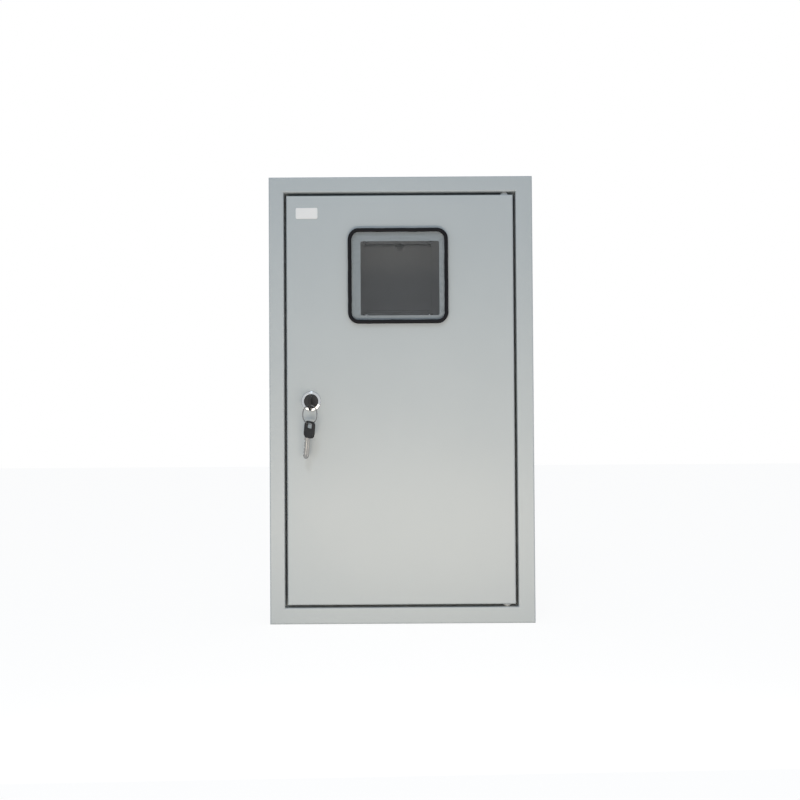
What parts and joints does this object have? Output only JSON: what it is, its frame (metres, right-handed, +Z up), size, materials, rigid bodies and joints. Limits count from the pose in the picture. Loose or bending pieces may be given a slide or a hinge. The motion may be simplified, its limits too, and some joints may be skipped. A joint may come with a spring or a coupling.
{
  "type": "electric meter enclosure",
  "caption": "Flush-mounted sheet-steel meter enclosure with a framed hinged door, clear inspection window, cam lock and keys on a ring.",
  "frame": {"origin": "middle of the rear wall's outer face, at the centre of the four wall fixing holes", "axes": "+X to the right seen from the front, +Y from the door into the wall, +Z up"},
  "size_m": [0.3016, 0.1751, 0.51],
  "materials": {
    "grey_paint": "satin powder coat",
    "zinc_steel": "zinc plated",
    "terminal_steel": "nickel plated",
    "bar_brass": "drawn",
    "blue_insulator": "moulded",
    "green_insulator": "moulded",
    "bush_plastic": "moulded",
    "black_rubber": "matte",
    "clear_plastic": "polished",
    "badge_white": "gloss",
    "lock_chrome": "polished",
    "plug_black": "black",
    "key_steel": "nickel plated",
    "key_black": "moulded",
    "ring_steel": "polished wire"
  },
  "bodies": {
    "case": {"case_shell": "grey_paint", "corner_brackets": "zinc_steel", "clinch_nuts": "zinc_steel", "wall_lugs": "grey_paint", "front_frame": "grey_paint", "frame_screws": "zinc_steel", "hinge_pin_top": "zinc_steel", "hinge_pin_bottom": "zinc_steel", "meter_plate": "grey_paint", "mounting_rail": "zinc_steel", "rail_brackets": "zinc_steel", "rail_screws": "zinc_steel", "weld_studs": "zinc_steel", "stud_nuts": "zinc_steel", "neutral_bar": "bar_brass", "earth_bar": "bar_brass", "neutral_bar_feet": "blue_insulator", "earth_bar_feet": "green_insulator", "terminal_screws": "terminal_steel", "bar_end_screws": "zinc_steel", "case_earth_stud": "zinc_steel", "case_earth_nuts": "zinc_steel"},
    "door": {"door_panel": "grey_paint", "hinge_bush_top": "bush_plastic", "hinge_bush_bottom": "bush_plastic", "window_gasket": "black_rubber", "window_lens": "clear_plastic", "badge_plate": "badge_white", "lock_housing": "lock_chrome", "lock_nut": "zinc_steel", "door_earth_stud": "zinc_steel", "door_earth_nuts": "zinc_steel"},
    "lock_core": {"lock_plug": "plug_black", "lock_cam": "zinc_steel", "cam_screw": "zinc_steel", "lock_key_blade": "key_steel", "lock_key_head": "key_black"},
    "ring": {"key_ring": "ring_steel"},
    "spare_key": {"spare_key_blade": "key_steel", "spare_key_head": "key_black"}
  },
  "joints": [
    {"name": "door_hinge", "type": "hinge", "parent": "case", "child": "door", "pos_m": [0.1203, -0.142, 0], "axis": [0, 0, 1], "range_deg": [0, 110]},
    {"name": "lock_turn", "type": "hinge", "parent": "door", "child": "lock_core", "pos_m": [-0.1021, -0.15, -0.0021], "axis": [0, -1, 0], "range_deg": [0, 90]},
    {"name": "ring_swing", "type": "hinge", "parent": "lock_core", "child": "ring", "pos_m": [-0.1021, -0.1668, -0.00675], "axis": [-0.6947, -0.7193, 0], "range_deg": [-5, 50]},
    {"name": "spare_key_swing", "type": "hinge", "parent": "ring", "child": "spare_key", "pos_m": [-0.1021, -0.1668, -0.02805], "axis": [0.6947, 0.7193, 0], "range_deg": [-40, 8]}
  ]
}
